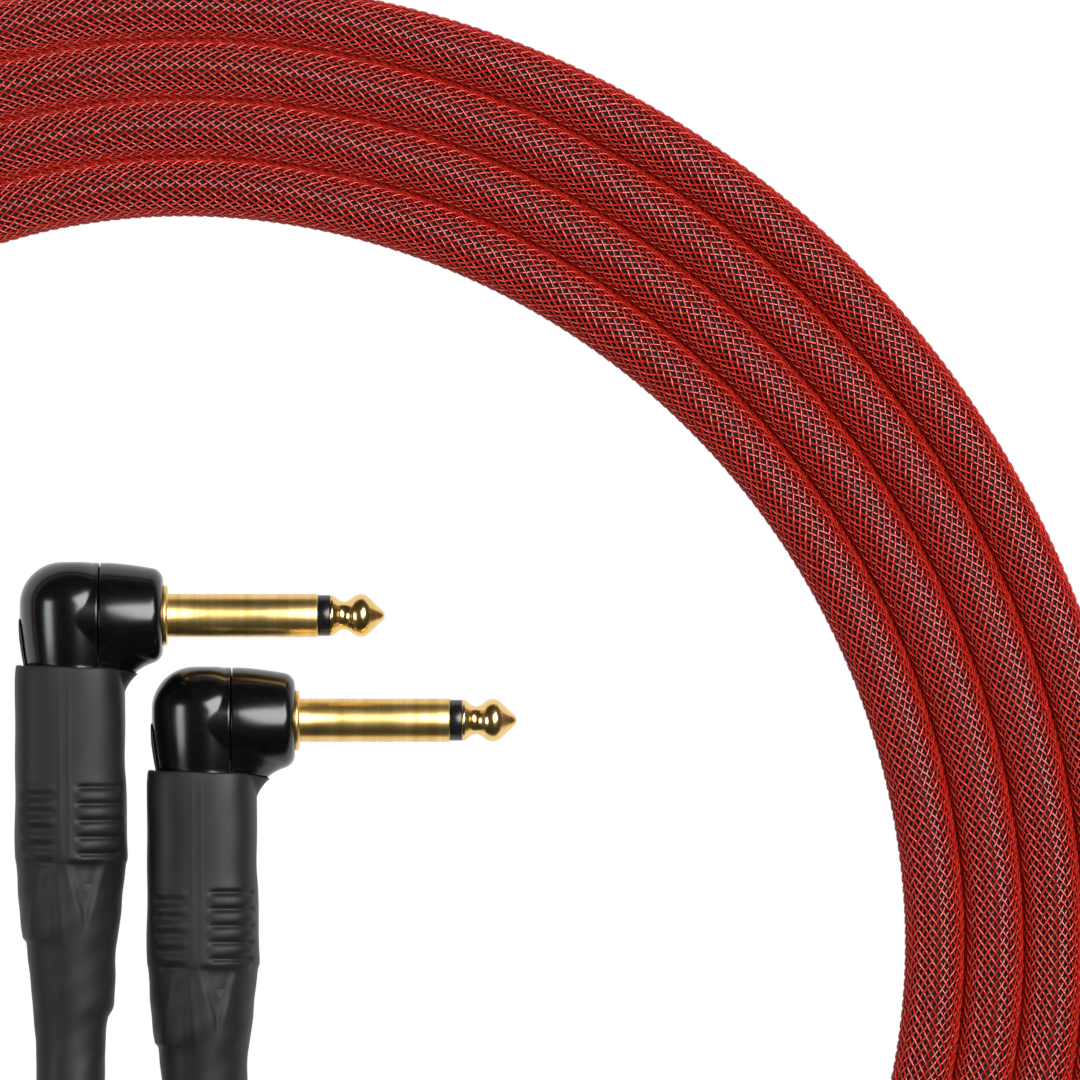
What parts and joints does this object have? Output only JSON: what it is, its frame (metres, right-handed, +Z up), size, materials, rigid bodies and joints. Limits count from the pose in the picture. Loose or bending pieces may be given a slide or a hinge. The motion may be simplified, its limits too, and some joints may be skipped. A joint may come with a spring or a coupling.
{
  "type": "instrument cable",
  "caption": "Coiled braided instrument cable with a right-angle mono phone plug on each end, held in ribbed boots under heat-shrink sleeve.",
  "frame": {"origin": "on the surface the cable lies on, under the middle of the box around the two plugs", "axes": "+X along both plug shafts towards their tips, +Y from the cable side of each elbow to its closed side, +Z up"},
  "size_m": [0.2587, 0.2616, 0.0186],
  "materials": {
    "gold_contact": "satin gold plate with fine turning marks, polished at the tip",
    "black_insulator": "smooth black",
    "nylon_insulator": "natural nylon",
    "tinned_lug": "tinned",
    "black_housing": "gloss black",
    "black_tongue": "satin black",
    "chuck_plastic": "moulded black",
    "boot_rubber": "soft black",
    "heat_shrink": "satin dark grey",
    "cable_jacket": "matt black",
    "core_polymer": "natural polyethylene",
    "copper_wire": "bare copper",
    "red_braid": "open red monofilament braid over a black jacket"
  },
  "bodies": {
    "root": {"cable_lead_a": "red_braid", "cable_coil": "red_braid", "cable_lead_b": "red_braid", "tip_contact_a": "gold_contact", "tip_insulator_ring_a": "black_insulator", "inner_insulator_tube_a": "nylon_insulator", "sleeve_contact_a": "gold_contact", "tip_terminal_a": "gold_contact", "ground_lug_a": "tinned_lug", "rear_housing_a": "black_housing", "front_housing_a": "black_housing", "insulating_liner_a": "nylon_insulator", "retaining_tongue_a": "black_tongue", "cable_chuck_a": "chuck_plastic", "boot_a": "boot_rubber", "heat_shrink_sleeve_a": "heat_shrink", "cable_end_a": "cable_jacket", "core_insulation_a": "core_polymer", "centre_conductor_a": "copper_wire", "shield_pigtail_a": "copper_wire", "tip_contact_b": "gold_contact", "tip_insulator_ring_b": "black_insulator", "inner_insulator_tube_b": "nylon_insulator", "sleeve_contact_b": "gold_contact", "tip_terminal_b": "gold_contact", "ground_lug_b": "tinned_lug", "rear_housing_b": "black_housing", "front_housing_b": "black_housing", "insulating_liner_b": "nylon_insulator", "retaining_tongue_b": "black_tongue", "cable_chuck_b": "chuck_plastic", "boot_b": "boot_rubber", "heat_shrink_sleeve_b": "heat_shrink", "cable_end_b": "cable_jacket", "core_insulation_b": "core_polymer", "centre_conductor_b": "copper_wire", "shield_pigtail_b": "copper_wire"}
  },
  "joints": []
}
